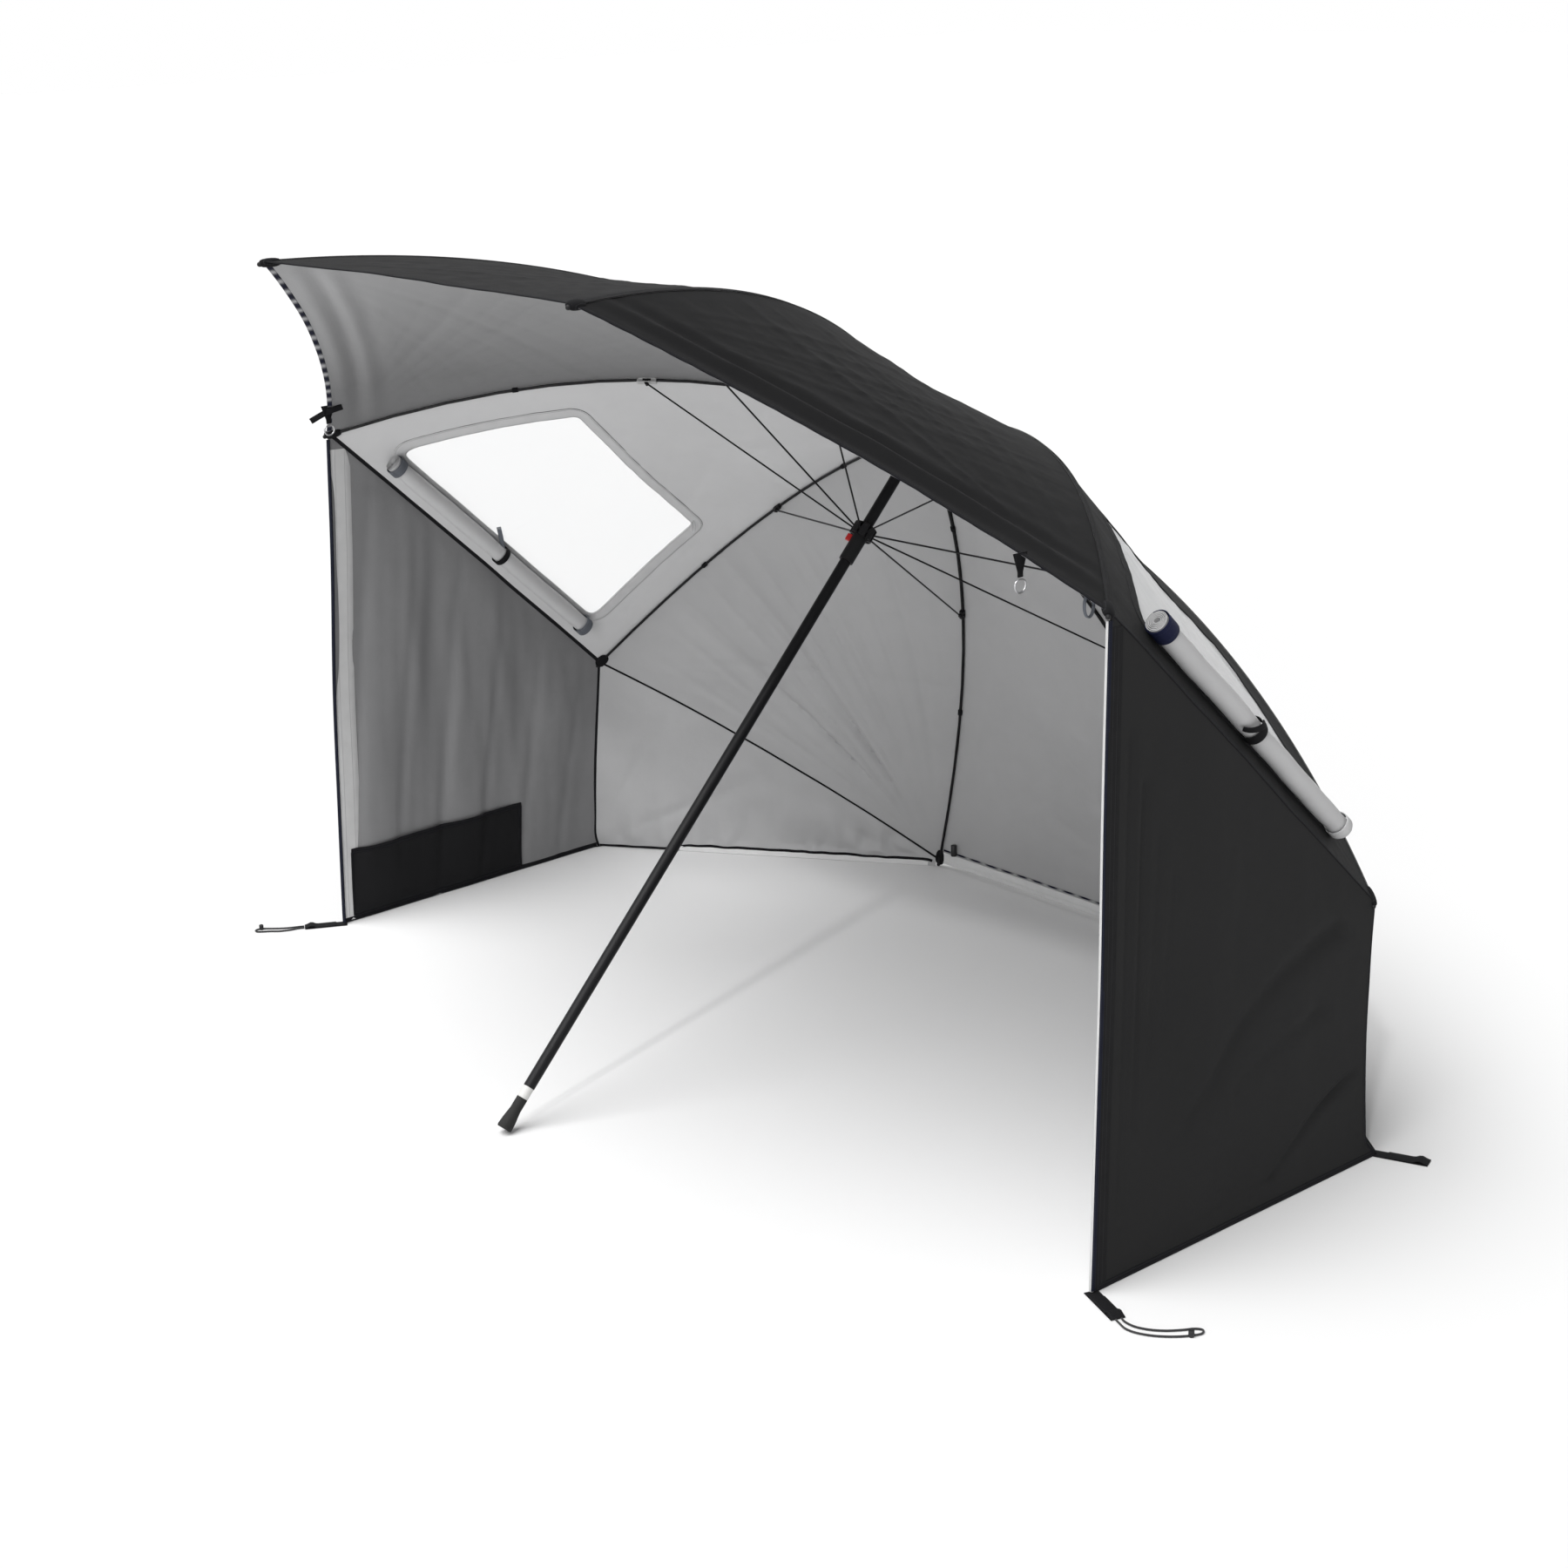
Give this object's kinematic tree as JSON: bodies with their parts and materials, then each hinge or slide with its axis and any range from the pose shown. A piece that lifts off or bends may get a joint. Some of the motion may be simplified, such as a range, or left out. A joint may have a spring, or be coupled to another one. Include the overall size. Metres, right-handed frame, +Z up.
{
  "type": "umbrella tent",
  "caption": "Large umbrella laid back as a beach shelter, with side walls to the ground, clear side windows, a sloping centre pole and folding ribs.",
  "frame": {"origin": "on the ground, midway between the foremost and rearmost rib tips and between the sides", "axes": "+X to the right seen from the open front, -Y out of the open front, +Z up"},
  "size_m": [2.5669, 1.6133, 1.54],
  "materials": {
    "black_metal": "satin",
    "steel": "satin",
    "black_plastic": "matte",
    "pale_plastic": "satin",
    "red_plastic": "gloss",
    "boot_rubber": "matte",
    "canopy_cloth": "woven, silver-grey inside",
    "wall_cloth": "woven, silver-grey inside",
    "silver_cloth": "satin coating",
    "clear_film": "hazy flexible film",
    "pocket_cloth": "matte",
    "webbing": "woven",
    "cord": "braided"
  },
  "bodies": {
    "root": {"pole_upper": "black_metal", "crown_hub": "black_plastic", "rib_wire": "steel", "top_cap": "black_plastic", "gore_roof": "canopy_cloth", "gore_upper_left": "canopy_cloth", "gore_upper_right": "canopy_cloth", "gore_window_left": "canopy_cloth", "gore_window_right": "canopy_cloth", "gore_low_left": "canopy_cloth", "gore_low_right": "canopy_cloth", "gore_back": "canopy_cloth", "window_film_left": "clear_film", "window_film_right": "clear_film", "window_roll_left": "silver_cloth", "window_roll_right": "silver_cloth", "side_wall_left": "wall_cloth", "side_wall_right": "wall_cloth", "back_skirt_left": "wall_cloth", "back_skirt_right": "wall_cloth", "wall_pocket": "pocket_cloth", "guy_tab_left": "webbing", "guy_tab_right": "webbing", "corner_tab_front_left": "webbing", "corner_tab_front_right": "webbing", "corner_tab_back_left": "webbing", "corner_tab_back_right": "webbing", "corner_cord_front_left": "cord", "corner_cord_front_right": "cord"},
    "runner": {"runner": "black_plastic"},
    "release_button": {"runner_button": "red_plastic"},
    "lower_pole": {"pole_lower": "black_metal", "foot_collar": "pale_plastic", "foot_spike": "steel"},
    "boot": {"foot_boot": "boot_rubber"},
    "rib_top_right": {"rib_top_right": "black_metal", "tip_top_right": "black_plastic"},
    "stretcher_top_right": {"stretcher_top_right": "black_metal"},
    "rib_upper_right": {"rib_upper_right": "black_metal", "tip_upper_right": "black_plastic"},
    "stretcher_upper_right": {"stretcher_upper_right": "black_metal"},
    "rib_lower_right": {"rib_lower_right": "black_metal", "tip_lower_right": "black_plastic"},
    "stretcher_lower_right": {"stretcher_lower_right": "black_metal"},
    "rib_ground_right": {"rib_ground_right": "black_metal", "tip_ground_right": "black_plastic"},
    "stretcher_ground_right": {"stretcher_ground_right": "black_metal"},
    "rib_ground_left": {"rib_ground_left": "black_metal", "tip_ground_left": "black_plastic"},
    "stretcher_ground_left": {"stretcher_ground_left": "black_metal"},
    "rib_lower_left": {"rib_lower_left": "black_metal", "tip_lower_left": "black_plastic"},
    "stretcher_lower_left": {"stretcher_lower_left": "black_metal"},
    "rib_upper_left": {"rib_upper_left": "black_metal", "tip_upper_left": "black_plastic"},
    "stretcher_upper_left": {"stretcher_upper_left": "black_metal"},
    "rib_top_left": {"rib_top_left": "black_metal", "tip_top_left": "black_plastic"},
    "stretcher_top_left": {"stretcher_top_left": "black_metal"}
  },
  "joints": [
    {"name": "runner_slide", "type": "slide", "parent": "root", "child": "runner", "axis": [0, -0.6903, -0.7236], "range_m": [0, 0.91696], "deforming": ["gore_roof", "gore_upper_left", "gore_upper_right", "gore_window_left", "gore_window_right", "gore_low_left", "gore_low_right", "gore_back", "window_film_left", "window_film_right", "window_roll_left", "window_roll_right", "side_wall_left", "side_wall_right", "back_skirt_left", "back_skirt_right", "wall_pocket"]},
    {"name": "button_press", "type": "slide", "parent": "runner", "child": "release_button", "axis": [0.7071, 0.5116, -0.4881], "range_m": [0, 0.0018], "stiffness_N_per_m": 800, "springref_m": -0.001},
    {"name": "pole_plug", "type": "slide", "parent": "root", "child": "lower_pole", "axis": [0, -0.6903, -0.7236], "range_m": [0, 0.1]},
    {"name": "boot_pull", "type": "slide", "parent": "lower_pole", "child": "boot", "axis": [0, -0.6903, -0.7236], "range_m": [0, 0.07]},
    {"name": "rib_fold_top_right", "type": "hinge", "parent": "root", "child": "rib_top_right", "pos_m": [0.00746, 0.32629, 1.13782], "axis": [0.9239, 0.2769, -0.2641], "range_deg": [0, 66]},
    {"name": "stretcher_fold_top_right", "type": "hinge", "parent": "rib_top_right", "child": "stretcher_top_right", "pos_m": [0.22777, -0.13702, 1.42269], "axis": [0.9239, 0.2769, -0.2641], "range_deg": [-132, 0]},
    {"name": "rib_fold_upper_right", "type": "hinge", "parent": "root", "child": "rib_upper_right", "pos_m": [0.01802, 0.33393, 1.13054], "axis": [0.3827, 0.6685, -0.6377], "range_deg": [0, 66]},
    {"name": "stretcher_fold_upper_right", "type": "hinge", "parent": "rib_upper_right", "child": "stretcher_upper_right", "pos_m": [0.54989, 0.09606, 1.20035], "axis": [0.3827, 0.6685, -0.6377], "range_deg": [-132, 0]},
    {"name": "rib_fold_lower_right", "type": "hinge", "parent": "root", "child": "rib_lower_right", "pos_m": [0.01802, 0.34473, 1.12024], "axis": [-0.3827, 0.6685, -0.6377], "range_deg": [0, 66]},
    {"name": "stretcher_fold_lower_right", "type": "hinge", "parent": "rib_lower_right", "child": "stretcher_lower_right", "pos_m": [0.54989, 0.42567, 0.88591], "axis": [-0.3827, 0.6685, -0.6377], "range_deg": [-132, 0]},
    {"name": "rib_fold_ground_right", "type": "hinge", "parent": "root", "child": "rib_ground_right", "pos_m": [0.00746, 0.35237, 1.11295], "axis": [-0.9239, 0.2769, -0.2641], "range_deg": [0, 66]},
    {"name": "stretcher_fold_ground_right", "type": "hinge", "parent": "rib_ground_right", "child": "stretcher_ground_right", "pos_m": [0.22777, 0.65874, 0.66357], "axis": [-0.9239, 0.2769, -0.2641], "range_deg": [-132, 0]},
    {"name": "rib_fold_ground_left", "type": "hinge", "parent": "root", "child": "rib_ground_left", "pos_m": [-0.00746, 0.35237, 1.11295], "axis": [-0.9239, -0.2769, 0.2641], "range_deg": [0, 66]},
    {"name": "stretcher_fold_ground_left", "type": "hinge", "parent": "rib_ground_left", "child": "stretcher_ground_left", "pos_m": [-0.22777, 0.65874, 0.66357], "axis": [-0.9239, -0.2769, 0.2641], "range_deg": [-132, 0]},
    {"name": "rib_fold_lower_left", "type": "hinge", "parent": "root", "child": "rib_lower_left", "pos_m": [-0.01802, 0.34473, 1.12024], "axis": [-0.3827, -0.6685, 0.6377], "range_deg": [0, 66]},
    {"name": "stretcher_fold_lower_left", "type": "hinge", "parent": "rib_lower_left", "child": "stretcher_lower_left", "pos_m": [-0.54989, 0.42567, 0.88591], "axis": [-0.3827, -0.6685, 0.6377], "range_deg": [-132, 0]},
    {"name": "rib_fold_upper_left", "type": "hinge", "parent": "root", "child": "rib_upper_left", "pos_m": [-0.01802, 0.33393, 1.13054], "axis": [0.3827, -0.6685, 0.6377], "range_deg": [0, 66]},
    {"name": "stretcher_fold_upper_left", "type": "hinge", "parent": "rib_upper_left", "child": "stretcher_upper_left", "pos_m": [-0.54989, 0.09606, 1.20035], "axis": [0.3827, -0.6685, 0.6377], "range_deg": [-132, 0]},
    {"name": "rib_fold_top_left", "type": "hinge", "parent": "root", "child": "rib_top_left", "pos_m": [-0.00746, 0.32629, 1.13782], "axis": [0.9239, -0.2769, 0.2641], "range_deg": [0, 66]},
    {"name": "stretcher_fold_top_left", "type": "hinge", "parent": "rib_top_left", "child": "stretcher_top_left", "pos_m": [-0.22777, -0.13702, 1.42269], "axis": [0.9239, -0.2769, 0.2641], "range_deg": [-132, 0]}
  ],
  "couplings": [
    {"joint": "rib_fold_top_right", "follows": "runner_slide", "rad_per_m": 1.2562},
    {"joint": "stretcher_fold_top_right", "follows": "runner_slide", "rad_per_m": -2.5125},
    {"joint": "rib_fold_upper_right", "follows": "runner_slide", "rad_per_m": 1.2562},
    {"joint": "stretcher_fold_upper_right", "follows": "runner_slide", "rad_per_m": -2.5125},
    {"joint": "rib_fold_lower_right", "follows": "runner_slide", "rad_per_m": 1.2562},
    {"joint": "stretcher_fold_lower_right", "follows": "runner_slide", "rad_per_m": -2.5125},
    {"joint": "rib_fold_ground_right", "follows": "runner_slide", "rad_per_m": 1.2562},
    {"joint": "stretcher_fold_ground_right", "follows": "runner_slide", "rad_per_m": -2.5125},
    {"joint": "rib_fold_ground_left", "follows": "runner_slide", "rad_per_m": 1.2562},
    {"joint": "stretcher_fold_ground_left", "follows": "runner_slide", "rad_per_m": -2.5125},
    {"joint": "rib_fold_lower_left", "follows": "runner_slide", "rad_per_m": 1.2562},
    {"joint": "stretcher_fold_lower_left", "follows": "runner_slide", "rad_per_m": -2.5125},
    {"joint": "rib_fold_upper_left", "follows": "runner_slide", "rad_per_m": 1.2562},
    {"joint": "stretcher_fold_upper_left", "follows": "runner_slide", "rad_per_m": -2.5125},
    {"joint": "rib_fold_top_left", "follows": "runner_slide", "rad_per_m": 1.2562},
    {"joint": "stretcher_fold_top_left", "follows": "runner_slide", "rad_per_m": -2.5125}
  ]
}
